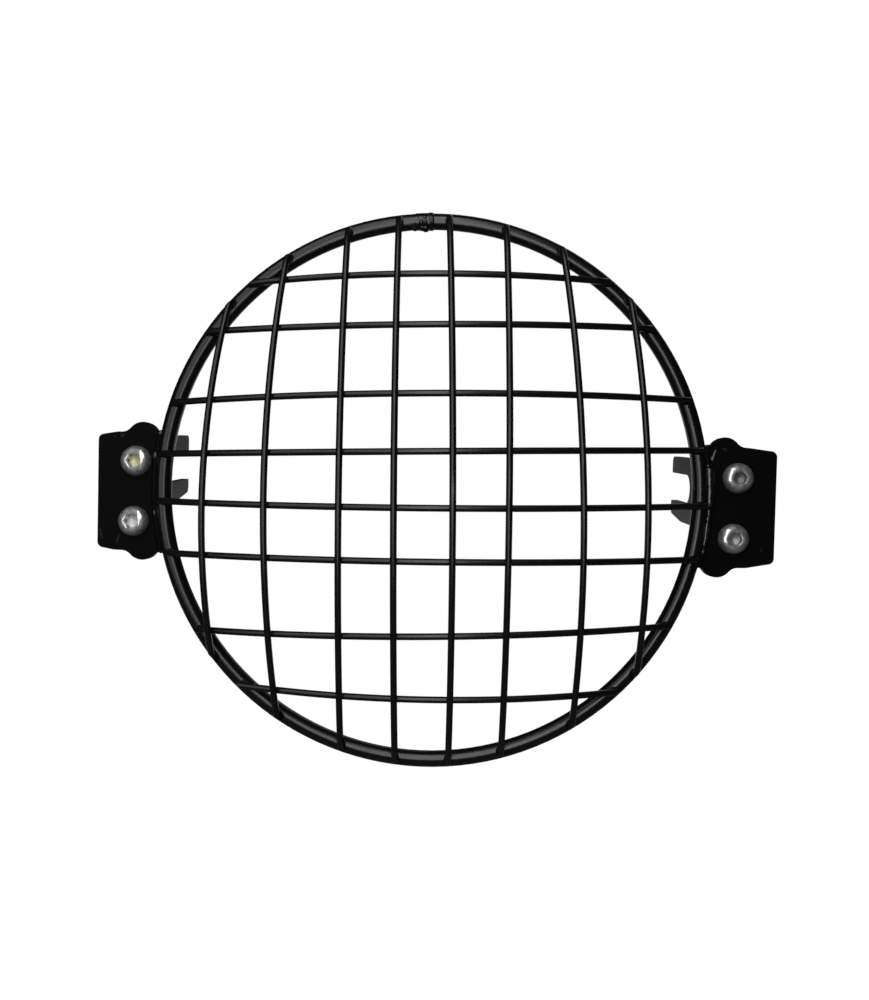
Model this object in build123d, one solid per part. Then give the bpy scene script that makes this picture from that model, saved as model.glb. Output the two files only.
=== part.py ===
from build123d import *
from math import cos, degrees, radians, sin, sqrt
import os

# Headlight guard: a steel hoop carrying a domed wire mesh, two ears welded to the
# hoop and two folded, slotted brackets screwed behind the ears.
# Millimetres. Origin at the hoop's centre, +X to the right seen from the front,
# +Y rearward along the lamp's axis, +Z up.

# Hoop
HOOP_R = 91.0              # centreline of the tube
TUBE_R = 2.75
CAGE_ROLL = 1.8            # the welded cage sits turned between its brackets, degrees

# Butt weld that closes the hoop near the top: two collars round the tube, each with
# its angle round the hoop from +X, its length and radius, and lumps and drips, each
# with its angle, its shift outward, its y and its radius
BUTT_COLLARS = [(91.5, 5.8, 2.9), (90.2, 1.3, 3.05)]
BUTT_LUMPS = [(92.3, -0.5, -1.6, 1.5), (91.5, 0.6, -1.65, 1.35), (93.7, -2.2, -0.6, 1.0),
              (91.6, -2.1, -0.6, 1.35)]

# Wire mesh. Both layers are arcs on spheres about one centre behind the hoop, so
# the cross wires lie tangent on the hoop and the uprights lie on the cross wires.
WIRE_R = 1.0
DOME_CENTRE_Y = 184.2
WELD_BITE = 0.02           # how far resistance-welded rounds sink into each other
JOGGLE = 13.0              # length of an upright's bent-down end
SHORT_JOGGLE = 8.2         # the same on the outer four, which cross a wire close by
OVERRUN = 0.8              # every wire runs this far past the hoop before it is cut flush
CROSS_WIRE_END_R = 92.75   # flush with the hoop as it looks from in front
UPRIGHT_END_SPARE = 0.2    # how far an upright runs outward past its contact

# Each wire: its offset at one end, in the middle and at the other end
UPRIGHTS = [(-67.0, -74.9, -73.2), (-47.9, -53.7, -51.4), (-27.9, -29.3, -30.5),
            (-10.9, -11.9, -12.4), (5.9, 6.6, 5.3), (24.9, 24.4, 22.9),
            (43.4, 48.3, 46.4), (65.9, 70.2, 67.9)]            # top, middle, bottom
CROSS_WIRES = [(69.3, 70.6, 69.6), (53.2, 53.1, 54.2), (29.3, 30.5, 30.0),
               (12.2, 12.0, 13.3), (-3.5, -5.9, -5.3), (-20.9, -22.9, -23.3),
               (-46.6, -47.0, -45.5), (-65.1, -68.4, -67.5)]   # left, middle, right

# Ears. Each pair of values is the upper and the lower one; x grows outward and z away
# from the brackets' common centreline.
EAR_T = 3.0
BRACKET_Z = -3.2           # height of that centreline
EAR_OUTER = {"left": (113.5, 112.8), "right": (116.7, 116.6)}
EAR_EDGE_Z = {"left": (18.6, 19.3), "right": (19.8, 18.1)}
EAR_SHOULDER = {"left": ((107.0, 19.8), (107.4, 20.3)), "right": ((107.0, 20.9), (107.0, 19.9))}
EAR_WEB_Z = {"left": (20.1, 20.9), "right": (21.6, 20.4)}          # where it meets the hoop
LOBE_AT = {"left": ((98.4, 17.9), (97.6, 18.0)), "right": ((99.0, 18.8), (97.2, 17.9))}
LOBE_R = 5.45
LOBE_BLEND_R = 4.0         # outer neck
LOBE_NOTCH_R = 1.2         # notch between lobe and hoop
EAR_INNER_R = 92.9         # hollow edge that follows the hoop
FILLET_WELD_R = 1.2

# Screws, M6 button heads
SCREW_AT = {"left": ((100.4, 10.0), (100.6, -10.4)), "right": ((103.5, 10.5), (102.5, -10.1))}
SCREW_R = 2.98
SCREW_LENGTH = 10.0
SCREW_HEAD_R = 5.25
SCREW_HEAD_K = 3.3
HEX_AF = 4.0
HEX_DEPTH = 2.0
EAR_HOLE_R = 3.3
TAPPED_HOLE_R = 3.0

# Brackets. A side flange is an arm that rises a little to the rear; its lengths u and
# heights w are measured along and across it from the centre of the slot's round end.
SHEET_T = 2.5
FLANGE_INNER_X = {"left": 94.3, "right": 92.4}
FLANGE_LIFT = {"left": 1.1, "right": -1.1}
BEND_R = 1.2               # inside radius
EDGE_SETBACK = 0.5         # how far the front flange stays inside the ear
BRACKET_FOOT = -18.0
SLOT_R = 5.25
SLOT_END = (25.4, 7.75)    # y, and height over the brackets' centreline
ARM_RISE = 4.0             # degrees
ARM_TIP = 22.0             # u
ARM_TOP = 11.5             # w
ARM_BOTTOM = -12.4
NOSE = -10.2               # w of the lower corner at the tip
BELLY = 6.0                # u where the lower edge starts to rise

TUBE_CENTRE_R = sqrt(HOOP_R ** 2 + DOME_CENTRE_Y ** 2)
CROSS_SPHERE_R = TUBE_CENTRE_R + TUBE_R + WIRE_R - WELD_BITE
UPRIGHT_SPHERE_R = CROSS_SPHERE_R + 2 * WIRE_R - WELD_BITE


def round_rod(arc, radius, overrun=0.0):
    """A round rod whose centreline is a circular arc, carried on past its end."""
    section = Plane(origin=arc @ 0, z_dir=arc % 0) * Circle(radius)
    centre = arc.arc_center
    swing = (arc @ 0 - centre).cross(arc % 0)
    return revolve(section, Axis(centre, swing), degrees((arc.length + overrun) / arc.radius))


def cut_flush(wire, end_r):
    """A wire whose ends stop at a distance from the lamp's axis."""
    return wire & Rot(90, 0, 0) * Cylinder(end_r, 100)


def on_sphere(sphere_r, x, z):
    """The front point of a dome sphere above (x, z)."""
    return Vector(x, DOME_CENTRE_Y - sqrt(sphere_r ** 2 - x ** 2 - z ** 2), z)


def dome_arc(sphere_r, start, middle, end):
    """The circular arc on a dome sphere through three (x, z) stations."""
    points = [on_sphere(sphere_r, x, z) for x, z in (start, middle, end)]
    return ThreePointArc(*points)


def cross_wire(left, middle, right):
    """A wire lying across the hoop, given its heights."""
    def reach(z):
        return sqrt((HOOP_R + TUBE_R + OVERRUN) ** 2 - z ** 2)

    arc = dome_arc(CROSS_SPHERE_R, (-reach(left), left), (0, middle), (reach(right), right))
    return cut_flush(round_rod(arc, WIRE_R), CROSS_WIRE_END_R)


def joggle_end(start, heading, x, up):
    """The arc that takes an upright down on to the hoop, and where it touches.

    The second value is the contact's distance from the lamp's axis.

    The end rests tangent on the tube, so the landing angle round the tube is found
    by halving until the arc arrives square to the line from the tube's centre.
    """
    reach = TUBE_R + WIRE_R - WELD_BITE

    def arc_at(angle):
        out_r = HOOP_R + reach * sin(angle)
        side = sqrt(out_r ** 2 - x ** 2) * up
        radial = Vector(x, 0, side).normalized()
        normal = radial * sin(angle) + Vector(0, -1, 0) * cos(angle)
        arc = TangentArc(start, radial * HOOP_R + normal * reach, tangent=heading)
        return arc, (arc % 1).dot(normal)

    low, high = radians(20), radians(85)
    for _ in range(30):
        middle = (low + high) / 2
        if arc_at(middle)[1] < 0:
            low = middle
        else:
            high = middle
    return arc_at(middle)[0], HOOP_R + TUBE_R * sin(middle)


def upright_wire(top, middle, bottom):
    """A wire lying over the cross wires, both ends bent down on to the hoop."""
    land_r = UPRIGHT_SPHERE_R * HOOP_R / TUBE_CENTRE_R

    def reach(x):
        return sqrt(land_r ** 2 - x ** 2)

    whole = dome_arc(UPRIGHT_SPHERE_R, (top, reach(top)), (middle, 0), (bottom, -reach(bottom)))
    share = (JOGGLE if abs(middle) < 40 else SHORT_JOGGLE) / whole.length
    arc = whole.trim(share, 1 - share)
    ends = [joggle_end(arc @ 0, (arc % 0) * -1, top, 1),
            joggle_end(arc @ 1, arc % 1, bottom, -1)]
    wire = round_rod(arc, WIRE_R)
    for end, _ in ends:
        wire += round_rod(end, WIRE_R, OVERRUN)
    return cut_flush(wire, max(contact_r for _, contact_r in ends) + UPRIGHT_END_SPARE)


def hoop_point(angle, radius=HOOP_R, y=0.0):
    """A point at an angle round the hoop, in degrees from +X."""
    return Pos(radius * cos(radians(angle)), y, radius * sin(radians(angle)))


def ring_tube(major, minor, y=0.0):
    """A full round tube about the lamp's axis."""
    return Pos(0, y, 0) * Rot(90, 0, 0) * Torus(major, minor)


def hoop():
    """The round tube with the lumps of the butt weld that closes it."""
    body = ring_tube(HOOP_R, TUBE_R)
    for angle, length, radius in BUTT_COLLARS:
        span = degrees(length / HOOP_R)
        section = Plane.XY * Pos(HOOP_R, 0) * Circle(radius)
        collar = revolve(section, Axis.Y, -span)
        body += Rot(0, -angle + span / 2, 0) * collar
    for angle, out, y, radius in BUTT_LUMPS:
        body += hoop_point(angle, HOOP_R + out, y) * Rot(0, 90, 0) * Sphere(radius)
    return body


def upright_plate(sketch, y, thickness):
    """A sketch drawn as (x, z), stood up and given a thickness rearward from y."""
    stood = Plane(origin=(0, y, 0), x_dir=(1, 0, 0), z_dir=(0, -1, 0)) * sketch
    return extrude(stood, thickness, dir=(0, 1, 0))


def near(shape, x, y, radius=0.3):
    """The corners of a flat shape that lie close to a point."""
    return [v for v in shape.vertices() if abs(v.X - x) < radius and abs(v.Y - y) < radius]


def ear_plate(side):
    """The ear's tapered plate without its lobes, from the hoop to the outer edge."""
    (top_x, low_x), (top_z, low_z) = EAR_OUTER[side], EAR_EDGE_Z[side]
    top_shoulder, (shoulder_x, shoulder_z) = EAR_SHOULDER[side]
    web_top, web_foot = EAR_WEB_Z[side]
    return make_face(Polyline((HOOP_R - 4, web_top), top_shoulder, (top_x, top_z),
                              (low_x, -low_z), (shoulder_x, -shoulder_z),
                              (HOOP_R - 4, -web_foot), close=True))


def ear_outline(side):
    """The ear's face: the plate with a lobe above and below at the hoop."""
    plate = ear_plate(side)
    (top_x, low_x), (top_z, low_z) = EAR_OUTER[side], EAR_EDGE_Z[side]
    plate = fillet(near(plate, top_x, top_z) + near(plate, low_x, -low_z), 2.0)
    for (x, z), sign in zip(LOBE_AT[side], (1, -1)):
        plate += Pos(x, sign * z) * Circle(LOBE_R)
    necks = [v for v in plate.vertices() if 100 < v.X < 105.5 and abs(v.Y) > 19]
    plate = fillet(necks, LOBE_BLEND_R)
    notches = [v for v in plate.vertices() if 92 < v.X < 97 and abs(v.Y) > 19]
    return fillet(notches, LOBE_NOTCH_R)


def right_ear(side):
    """An ear drawn for the right side, coped round the hoop and welded along its front."""
    outer_x = max(EAR_OUTER[side])
    plate = upright_plate(Pos(0, BRACKET_Z) * ear_outline(side), 0, EAR_T)
    weld = ring_tube(HOOP_R + TUBE_R + 0.2, FILLET_WELD_R, -0.1)
    web_top, web_foot = EAR_WEB_Z[side]
    weld_box = Box(60, 20, web_top + web_foot - 1.6)
    weld &= Pos(outer_x - 20, 0, BRACKET_Z + (web_top - web_foot) / 2) * weld_box
    ear = plate + weld
    ear -= Rot(90, 0, 0) * Cylinder(EAR_INNER_R, 40)
    ear -= ring_tube(HOOP_R, TUBE_R)
    for x, z in SCREW_AT[side]:
        ear -= Pos(x, 0, z + BRACKET_Z) * Rot(90, 0, 0) * Cylinder(EAR_HOLE_R, 20)
    return ear


def side_outline(lift):
    """The bracket seen from the side, drawn as (y, z) from its centreline.

    The arm's corners are rounded and its open slot is cut in.
    """
    place = Pos(SLOT_END[0], SLOT_END[1] + lift) * Rot(0, 0, ARM_RISE)

    def at(u, w):
        spot = (place * Pos(u, w)).position
        return spot.X, spot.Y

    foot, waist = (8.5, BRACKET_FOOT), at(-9, ARM_BOTTOM)
    belly, nose, tip = at(BELLY, ARM_BOTTOM), at(ARM_TIP, NOSE), at(ARM_TIP, ARM_TOP)
    arm = make_face(Polyline((-1, BRACKET_FOOT), foot, waist, belly, nose, tip,
                             at(-26, ARM_TOP), close=True))
    slot = Rectangle(40, 2 * SLOT_R, align=(Align.MIN, Align.CENTER)) + Circle(SLOT_R)
    arm -= place * slot
    lips = {1.2: at(ARM_TIP, SLOT_R), 0.6: at(ARM_TIP, -SLOT_R)}
    corners = {3.0: foot, 5.0: waist, 30.0: belly, 2.5: nose, 2.0: tip, **lips}
    for radius, corner in corners.items():
        arm = fillet(near(arm, *corner), radius)
    return arm


def right_bracket(side):
    """A bracket folded from sheet: a front flange to the ear and a slotted side."""
    inner_x = FLANGE_INNER_X[side]
    outer_x = inner_x + SHEET_T
    edge = min(EAR_OUTER[side]) - EDGE_SETBACK
    front_y, rear_y, end_y = EAR_T, EAR_T + SHEET_T, 60
    fold = make_face(Polyline((inner_x, front_y), (edge, front_y), (edge, rear_y),
                              (outer_x, rear_y), (outer_x, end_y), (inner_x, end_y), close=True))
    fold = fillet(near(fold, inner_x, front_y), BEND_R + SHEET_T)
    fold = fillet(near(fold, outer_x, rear_y), BEND_R)
    body = Pos(0, 0, -30) * extrude(fold, 60)

    profile = Plane(origin=(80, 0, 0), x_dir=(0, 1, 0), z_dir=(1, 0, 0)) * side_outline(FLANGE_LIFT[side])
    body &= extrude(profile, 50, dir=(1, 0, 0))

    front = offset(ear_plate(side), -EDGE_SETBACK)
    front = fillet([v for v in front.vertices() if v.X > edge - 1], 2.0)
    front += Pos(outer_x + BEND_R - 10, 0) * Rectangle(20, 60)
    body &= upright_plate(front, -1, 70)
    body = Pos(0, 0, BRACKET_Z) * body
    for x, z in SCREW_AT[side]:
        body -= Pos(x, 0, z + BRACKET_Z) * Rot(90, 0, 0) * Cylinder(TAPPED_HOLE_R, 30)
    return body


def screw():
    """A button-head screw along +Y with its head seated at y = 0."""
    rim, crown = 0.7, 2.7
    outline = [Line((0, SCREW_LENGTH), (SCREW_R - 0.6, SCREW_LENGTH)),
               Line((SCREW_R - 0.6, SCREW_LENGTH), (SCREW_R, SCREW_LENGTH - 0.6)),
               Line((SCREW_R, SCREW_LENGTH - 0.6), (SCREW_R, 0)),
               Line((SCREW_R, 0), (SCREW_HEAD_R, 0)),
               Line((SCREW_HEAD_R, 0), (SCREW_HEAD_R, -rim)),
               ThreePointArc((SCREW_HEAD_R, -rim), (4.35, -2.35), (crown, -SCREW_HEAD_K)),
               Line((crown, -SCREW_HEAD_K), (0, -SCREW_HEAD_K)),
               Line((0, -SCREW_HEAD_K), (0, SCREW_LENGTH))]
    body = revolve(make_face(outline), Axis.Y, 360)
    hexagon = RegularPolygon(HEX_AF / 2, 6, major_radius=False)
    socket = upright_plate(hexagon, -SCREW_HEAD_K - 1, 1 + HEX_DEPTH)
    return body - socket


def mirrored(shape):
    """The same part for the left side."""
    return mirror(shape, Plane.YZ)


def guard_parts():
    """Every node of the guard by name."""
    turn = Rot(0, -CAGE_ROLL, 0)
    parts = {"hoop": turn * hoop()}
    for number, stations in enumerate(UPRIGHTS, 1):
        parts[f"upright_wire_{number}"] = turn * upright_wire(*stations)
    for number, stations in enumerate(CROSS_WIRES, 1):
        parts[f"cross_wire_{number}"] = turn * cross_wire(*stations)
    parts["left_ear"] = mirrored(right_ear("left"))
    parts["right_ear"] = right_ear("right")
    parts["left_bracket"] = mirrored(right_bracket("left"))
    parts["right_bracket"] = right_bracket("right")
    for side, sign in (("left", -1), ("right", 1)):
        for (x, z), level in zip(SCREW_AT[side], ("upper", "lower")):
            parts[f"{side}_{level}_screw"] = Pos(sign * x, 0, z + BRACKET_Z) * screw()
    return parts


def main():
    os.makedirs("parts", exist_ok=True)
    for name, shape in guard_parts().items():
        export_step(shape, f"parts/{name}.step")


if __name__ == "__main__":
    main()
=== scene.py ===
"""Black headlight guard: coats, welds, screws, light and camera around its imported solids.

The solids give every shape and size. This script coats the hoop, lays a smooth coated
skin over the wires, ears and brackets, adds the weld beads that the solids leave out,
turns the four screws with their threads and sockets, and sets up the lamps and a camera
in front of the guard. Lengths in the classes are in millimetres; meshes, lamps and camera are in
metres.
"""

import logging
from dataclasses import dataclass, field
from enum import Enum
from math import atan2, cos, degrees, hypot, pi, radians, sin
from random import Random
from typing import Sequence

import bmesh
import bpy
from mathutils import Matrix, Vector
from mathutils.bvhtree import BVHTree


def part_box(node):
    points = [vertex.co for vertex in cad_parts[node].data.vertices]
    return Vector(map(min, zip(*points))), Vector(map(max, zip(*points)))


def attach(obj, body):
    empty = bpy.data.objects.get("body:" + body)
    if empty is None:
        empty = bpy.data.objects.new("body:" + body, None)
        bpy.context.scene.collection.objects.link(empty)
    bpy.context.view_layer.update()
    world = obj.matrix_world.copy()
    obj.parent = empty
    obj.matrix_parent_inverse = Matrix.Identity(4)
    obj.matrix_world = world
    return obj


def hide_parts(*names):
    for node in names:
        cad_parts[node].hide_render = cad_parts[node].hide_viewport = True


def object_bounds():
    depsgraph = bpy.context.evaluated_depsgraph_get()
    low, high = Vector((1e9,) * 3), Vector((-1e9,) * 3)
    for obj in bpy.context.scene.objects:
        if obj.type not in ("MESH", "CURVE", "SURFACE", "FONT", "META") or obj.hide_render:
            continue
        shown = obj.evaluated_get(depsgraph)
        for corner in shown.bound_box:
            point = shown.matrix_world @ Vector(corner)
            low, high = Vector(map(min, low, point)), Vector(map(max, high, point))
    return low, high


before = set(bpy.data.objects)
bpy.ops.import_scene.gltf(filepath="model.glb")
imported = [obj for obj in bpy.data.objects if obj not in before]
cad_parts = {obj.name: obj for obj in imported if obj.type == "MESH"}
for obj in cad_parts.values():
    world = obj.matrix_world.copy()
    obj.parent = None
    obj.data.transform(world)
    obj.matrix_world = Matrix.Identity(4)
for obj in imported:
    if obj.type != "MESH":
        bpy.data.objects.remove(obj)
CAD_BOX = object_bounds()

logging.basicConfig(level=logging.INFO, format="%(name)s: %(message)s")
log = logging.getLogger("headlight_guard")

MM = 0.001
BODY = "root"

Colour = tuple[float, float, float]
Point = tuple[float, float, float]


class CoatSlot(Enum):
    """The material slots of the guard's record."""

    CAGE = "cage_coat"
    PLATE = "plate_coat"
    SCREW = "screw_steel"


class Side(Enum):
    """The two sides of the guard, as seen from the front."""

    LEFT = -1
    RIGHT = 1

    @property
    def word(self) -> str:
        """The side's name as the nodes spell it."""
        return self.name.lower()


# Modelling helpers


def only(piece: bpy.types.Object) -> bpy.types.Object:
    """Selects one piece and nothing else, and makes it active.

    Args:
        piece: The object to work on.

    Returns:
        The same object.
    """
    if bpy.context.mode != "OBJECT":
        bpy.ops.object.mode_set(mode="OBJECT")
    bpy.ops.object.select_all(action="DESELECT")
    piece.hide_set(False)
    piece.select_set(True)
    bpy.context.view_layer.objects.active = piece
    return piece


def nothing_selected() -> None:
    """Deselects every object, so that an operator touches only what it adds."""
    if bpy.context.mode != "OBJECT":
        bpy.ops.object.mode_set(mode="OBJECT")
    bpy.ops.object.select_all(action="DESELECT")


def open_mesh() -> None:
    """Opens the active mesh in edit mode with all of it selected."""
    bpy.ops.object.mode_set(mode="EDIT")
    bpy.ops.mesh.select_all(action="SELECT")


def close_mesh() -> None:
    """Turns every face of the open mesh outward and leaves edit mode."""
    bpy.ops.mesh.select_all(action="SELECT")
    bpy.ops.mesh.normals_make_consistent(inside=False)
    bpy.ops.object.mode_set(mode="OBJECT")


def named(piece: bpy.types.Object, name: str) -> bpy.types.Object:
    """Gives an object and its mesh one name.

    Args:
        piece: The object.
        name: The name for both.

    Returns:
        The same object.
    """
    piece.name = name
    piece.data.name = name
    return piece


def settle(piece: bpy.types.Object) -> bpy.types.Object:
    """Puts an object's place, turn and scale into its mesh.

    Args:
        piece: The object to settle.

    Returns:
        The same object, now at the origin.
    """
    only(piece)
    bpy.ops.object.transform_apply(location=True, rotation=True, scale=True)
    return piece


def finish_with(piece: bpy.types.Object, kind: str, **settings: object) -> bpy.types.Object:
    """Adds one modifier and applies it.

    Args:
        piece: The object that gets the modifier.
        kind: The modifier's type, such as BEVEL.
        settings: The modifier's properties.

    Returns:
        The same object.
    """
    modifier = piece.modifiers.new(kind.title(), kind)
    for key, value in settings.items():
        setattr(modifier, key, value)
    only(piece)
    bpy.ops.object.modifier_apply(modifier=modifier.name)
    return piece


def joined(pieces: Sequence[bpy.types.Object], name: str) -> bpy.types.Object:
    """Joins several meshes into one named object.

    Args:
        pieces: The mesh objects, at least one.
        name: The name of the joined object and its mesh.

    Returns:
        The first piece, which now holds them all.
    """
    nothing_selected()
    for piece in pieces:
        piece.select_set(True)
    bpy.context.view_layer.objects.active = pieces[0]
    bpy.ops.object.join()
    return named(pieces[0], name)


def smoothed(piece: bpy.types.Object, angle: float) -> bpy.types.Object:
    """Shades a piece smooth, but for its sharp edges.

    Args:
        piece: The mesh object.
        angle: The angle in degrees past which an edge stays sharp.

    Returns:
        The same object.
    """
    only(piece)
    bpy.ops.object.shade_smooth_by_angle(angle=radians(angle))
    return piece


def copy_of(piece: bpy.types.Object, name: str) -> bpy.types.Object:
    """A named copy of an object, with a mesh of its own and nothing to ride on.

    Args:
        piece: The object to copy.
        name: The name of the copy and its mesh.

    Returns:
        The copy, in the scene.
    """
    twin = bpy.data.objects.new(name, piece.data.copy())
    twin.data.name = name
    bpy.context.scene.collection.objects.link(twin)
    return twin


def dressed(piece: bpy.types.Object, material: bpy.types.Material) -> bpy.types.Object:
    """Gives a piece its only material and fixes it to the body.

    Args:
        piece: The finished mesh object.
        material: The material of all its faces.

    Returns:
        The same object.
    """
    piece.data.materials.clear()
    piece.data.materials.append(material)
    for polygon in piece.data.polygons:
        polygon.material_index = 0
    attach(piece, BODY)
    log.info("%s: %d faces", piece.name, len(piece.data.polygons))
    return piece


def coat_node(name: str, material: bpy.types.Material) -> None:
    """Gives a solid that shows as it is its finish.

    Args:
        name: The node's name.
        material: The finish for all its slots.
    """
    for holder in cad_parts[name].material_slots:
        holder.material = material
    log.info("%s: solid kept, %s", name, material.name)


def tree_of(piece: bpy.types.Object) -> BVHTree:
    """A search tree over a mesh object's faces."""
    mesh = piece.data
    return BVHTree.FromPolygons([v.co for v in mesh.vertices], [p.vertices for p in mesh.polygons])


# Shader helpers


class Value:
    """A number that varies over a surface: a socket that takes Python's operators."""

    def __init__(self, graph: "Graph", socket: bpy.types.NodeSocket) -> None:
        """Wraps a node's output socket.

        Args:
            graph: The node graph that the socket is in.
            socket: The output socket.
        """
        self.graph = graph
        self.socket = socket

    def _math(self, operation: str, *values: "Value | float") -> "Value":
        """Adds a Math node.

        Args:
            operation: The node's operation.
            values: Its inputs, in order.

        Returns:
            The node's result.
        """
        node = self.graph.node("ShaderNodeMath", {"operation": operation},
                               dict(enumerate(values)))
        return Value(self.graph, node.outputs[0])

    def __add__(self, other: "Value | float") -> "Value":
        """The sum."""
        return self._math("ADD", self, other)

    __radd__ = __add__

    def __sub__(self, other: "Value | float") -> "Value":
        """The difference."""
        return self._math("SUBTRACT", self, other)

    def __rsub__(self, other: float) -> "Value":
        """A number less this value."""
        return self._math("SUBTRACT", other, self)

    def __mul__(self, other: "Value | float") -> "Value":
        """The product."""
        return self._math("MULTIPLY", self, other)

    __rmul__ = __mul__

    def __truediv__(self, other: "Value | float") -> "Value":
        """The quotient."""
        return self._math("DIVIDE", self, other)

    def __rtruediv__(self, other: float) -> "Value":
        """A number divided by this value."""
        return self._math("DIVIDE", other, self)

    def __pow__(self, other: float) -> "Value":
        """The value raised to a power."""
        return self._math("POWER", self, other)

    def size(self) -> "Value":
        """The value without its sign."""
        return self._math("ABSOLUTE", self)

    def clamped(self) -> "Value":
        """The value held between 0 and 1."""
        node = self.graph.node("ShaderNodeClamp", {}, {"Value": self})
        return Value(self.graph, node.outputs[0])

    def ramp(self, low: float, high: float) -> "Value":
        """A soft step between two values.

        Args:
            low: Where the step leaves 0.
            high: Where it reaches 1.

        Returns:
            The stepped value.
        """
        node = self.graph.node(
            "ShaderNodeMapRange", {"interpolation_type": "SMOOTHSTEP"},
            {"Value": self, "From Min": low, "From Max": high})
        return Value(self.graph, node.outputs[0])


class Graph:
    """Writes one material's or world's node graph."""

    def __init__(self, tree: bpy.types.NodeTree) -> None:
        """Empties a node tree and starts on it.

        Args:
            tree: The node tree of a material or of the world.
        """
        tree.nodes.clear()
        self.tree = tree

    def node(self, kind: str, settings: dict[str, object],
             inputs: dict[str | int, object]) -> bpy.types.Node:
        """Adds a node, sets its properties and then its inputs.

        Args:
            kind: The node's type.
            settings: Properties such as a Math node's operation.
            inputs: For each input's name or number, a value, a socket or a Value.

        Returns:
            The new node.
        """
        node = self.tree.nodes.new(kind)
        for key, value in settings.items():
            setattr(node, key, value)
        for key, value in inputs.items():
            if isinstance(value, Value):
                self.tree.links.new(value.socket, node.inputs[key])
            elif isinstance(value, bpy.types.NodeSocket):
                self.tree.links.new(value, node.inputs[key])
            else:
                node.inputs[key].default_value = value
        return node

    def noise(self, place: bpy.types.NodeSocket, size_mm: float, detail: float = 2.0,
              roughness: float = 0.5) -> Value:
        """Cloudy noise.

        Args:
            place: The coordinates that it is read at.
            size_mm: The width of its blotches.
            detail: How many finer layers lie on it.
            roughness: How strong those layers are.

        Returns:
            The noise, about 0.5 on average.
        """
        node = self.node("ShaderNodeTexNoise", {},
                         {"Vector": place, "Scale": 1 / (size_mm * MM), "Detail": detail,
                          "Roughness": roughness})
        return Value(self, node.outputs[0])

    def specks(self, place: bpy.types.NodeSocket, size_mm: float) -> Value:
        """Scattered points.

        Args:
            place: The coordinates that they are read at.
            size_mm: The width of the cells that hold one point each.

        Returns:
            The distance to the nearest point, in cells.
        """
        node = self.node("ShaderNodeTexVoronoi", {"feature": "F1"},
                         {"Vector": place, "Scale": 1 / (size_mm * MM)})
        return Value(self, node.outputs["Distance"])

    def blend(self, amount: Value | float, first: Colour | bpy.types.NodeSocket,
              second: Colour | bpy.types.NodeSocket) -> bpy.types.NodeSocket:
        """A colour between two others.

        Args:
            amount: 0 for the first colour and 1 for the second.
            first: A colour or a colour socket.
            second: A colour or a colour socket.

        Returns:
            The blended colour's socket.
        """
        node = self.node("ShaderNodeMix", {"data_type": "RGBA"}, {0: amount})
        for socket, colour in ((node.inputs[6], first), (node.inputs[7], second)):
            if isinstance(colour, bpy.types.NodeSocket):
                self.tree.links.new(colour, socket)
            else:
                socket.default_value = (*colour, 1.0)
        return node.outputs[2]

    def bump(self, height: Value, strength: float, depth_mm: float,
             under: bpy.types.NodeSocket | None = None) -> bpy.types.NodeSocket:
        """A bumped normal.

        Args:
            height: The relief, from 0 to 1.
            strength: How much of the relief is used.
            depth_mm: The relief's full depth.
            under: Another bumped normal that this one lies over.

        Returns:
            The normal's socket.
        """
        inputs: dict[str | int, object] = {"Height": height, "Strength": strength,
                                           "Distance": depth_mm * MM}
        if under is not None:
            inputs["Normal"] = under
        return self.node("ShaderNodeBump", {}, inputs).outputs[0]


# Finishes


@dataclass(frozen=True)
class ScuffAndHighlightStreak:
    """A lighter streak on a front face, placed in mm as seen from the front: chipped coat and
    painted edge highlights on the ears, painted highlights on the screw heads.
    """

    x: float
    z: float
    half_length: float = 2.2
    half_width: float = 0.62
    lean: float = 15.0
    flare: float = 0.0

    def mask(self, graph: Graph, x: Value, z: Value) -> Value:
        """1 on the streak and 0 off it.

        Args:
            graph: The graph of the material.
            x: Distance in mm to the right of the streak's origin.
            z: Height in mm above it.

        Returns:
            The soft-edged mask, wider at the top by the flare.
        """
        turn = radians(self.lean)
        right, up = x - self.x, z - self.z
        along = right * sin(turn) + up * cos(turn)
        across = right * cos(turn) - up * sin(turn)
        frayed = (graph.noise(self._place(graph), 0.7, 2.0) - 0.5) * self.half_width
        width = across.size() - along * self.flare + frayed
        side = 1 - width.ramp(0.7 * self.half_width, 1.4 * self.half_width)
        ends = 1 - along.size().ramp(self.half_length - 0.6, self.half_length + 0.3)
        return side * ends

    def _place(self, graph: Graph) -> bpy.types.NodeSocket:
        """The piece's own coordinates."""
        return graph.node("ShaderNodeTexCoord", {}, {}).outputs["Object"]


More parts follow.
